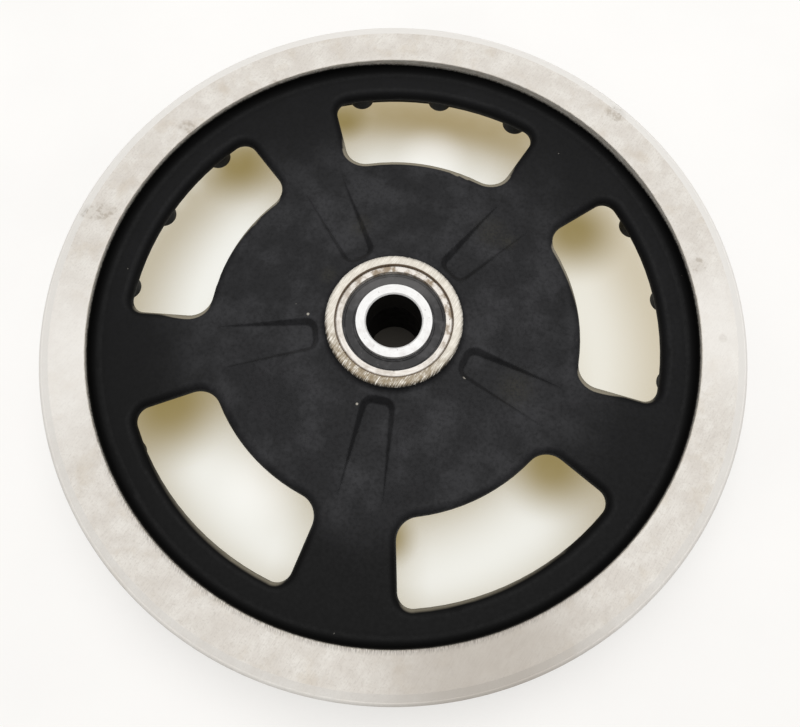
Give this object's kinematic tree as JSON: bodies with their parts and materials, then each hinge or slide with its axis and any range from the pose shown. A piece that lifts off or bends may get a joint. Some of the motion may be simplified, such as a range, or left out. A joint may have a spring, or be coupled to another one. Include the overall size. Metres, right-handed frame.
{
  "type": "toothed belt sprocket",
  "caption": "Spoked cast belt sprocket with a bright machined guide flange over its toothed rim, drive lugs behind, and a sealed ball bearing pressed into the hub.",
  "frame": {"origin": "on the axle axis, in the plane of the drive lugs' ends that the part stands on", "axes": "+Z along the axle axis towards the flange and boss side; +Y through the middle of one window"},
  "size_m": [0.312, 0.312, 0.049],
  "materials": {
    "black_paint": "satin black paint on cast aluminium; flange face and hub boss machined bare",
    "bearing_steel": "ground, a little stained",
    "polished_steel": "ground bright",
    "seal_rubber": "dark grey, smooth",
    "cage_steel": "pressed sheet, a film of grease",
    "rivet_steel": "upset heads",
    "sleeve_steel": "turned"
  },
  "bodies": {
    "sprocket": {"sprocket_casting": "black_paint", "bearing_outer_ring": "bearing_steel", "bearing_front_seal": "seal_rubber", "bearing_rear_seal": "seal_rubber"},
    "inner_ring": {"bearing_inner_ring": "polished_steel", "spacer_sleeve": "sleeve_steel"},
    "ball_set": {"cage_front_half": "cage_steel", "cage_rear_half": "cage_steel", "bearing_ball_1": "polished_steel", "bearing_ball_2": "polished_steel", "bearing_ball_3": "polished_steel", "bearing_ball_4": "polished_steel", "bearing_ball_5": "polished_steel", "bearing_ball_6": "polished_steel", "bearing_ball_7": "polished_steel", "bearing_ball_8": "polished_steel", "bearing_ball_9": "polished_steel", "cage_rivet_1": "rivet_steel", "cage_rivet_2": "rivet_steel", "cage_rivet_3": "rivet_steel", "cage_rivet_4": "rivet_steel", "cage_rivet_5": "rivet_steel", "cage_rivet_6": "rivet_steel", "cage_rivet_7": "rivet_steel", "cage_rivet_8": "rivet_steel", "cage_rivet_9": "rivet_steel"}
  },
  "joints": [
    {"name": "inner_ring_spin", "type": "hinge", "parent": "sprocket", "child": "inner_ring", "pos_m": [0, 0, 0.0403], "axis": [0, 0, 1], "continuous": true},
    {"name": "ball_set_spin", "type": "hinge", "parent": "sprocket", "child": "ball_set", "pos_m": [0, 0, 0.0403], "axis": [0, 0, 1], "continuous": true}
  ],
  "couplings": [
    {"joint": "ball_set_spin", "follows": "inner_ring_spin", "ratio": 0.39691}
  ]
}
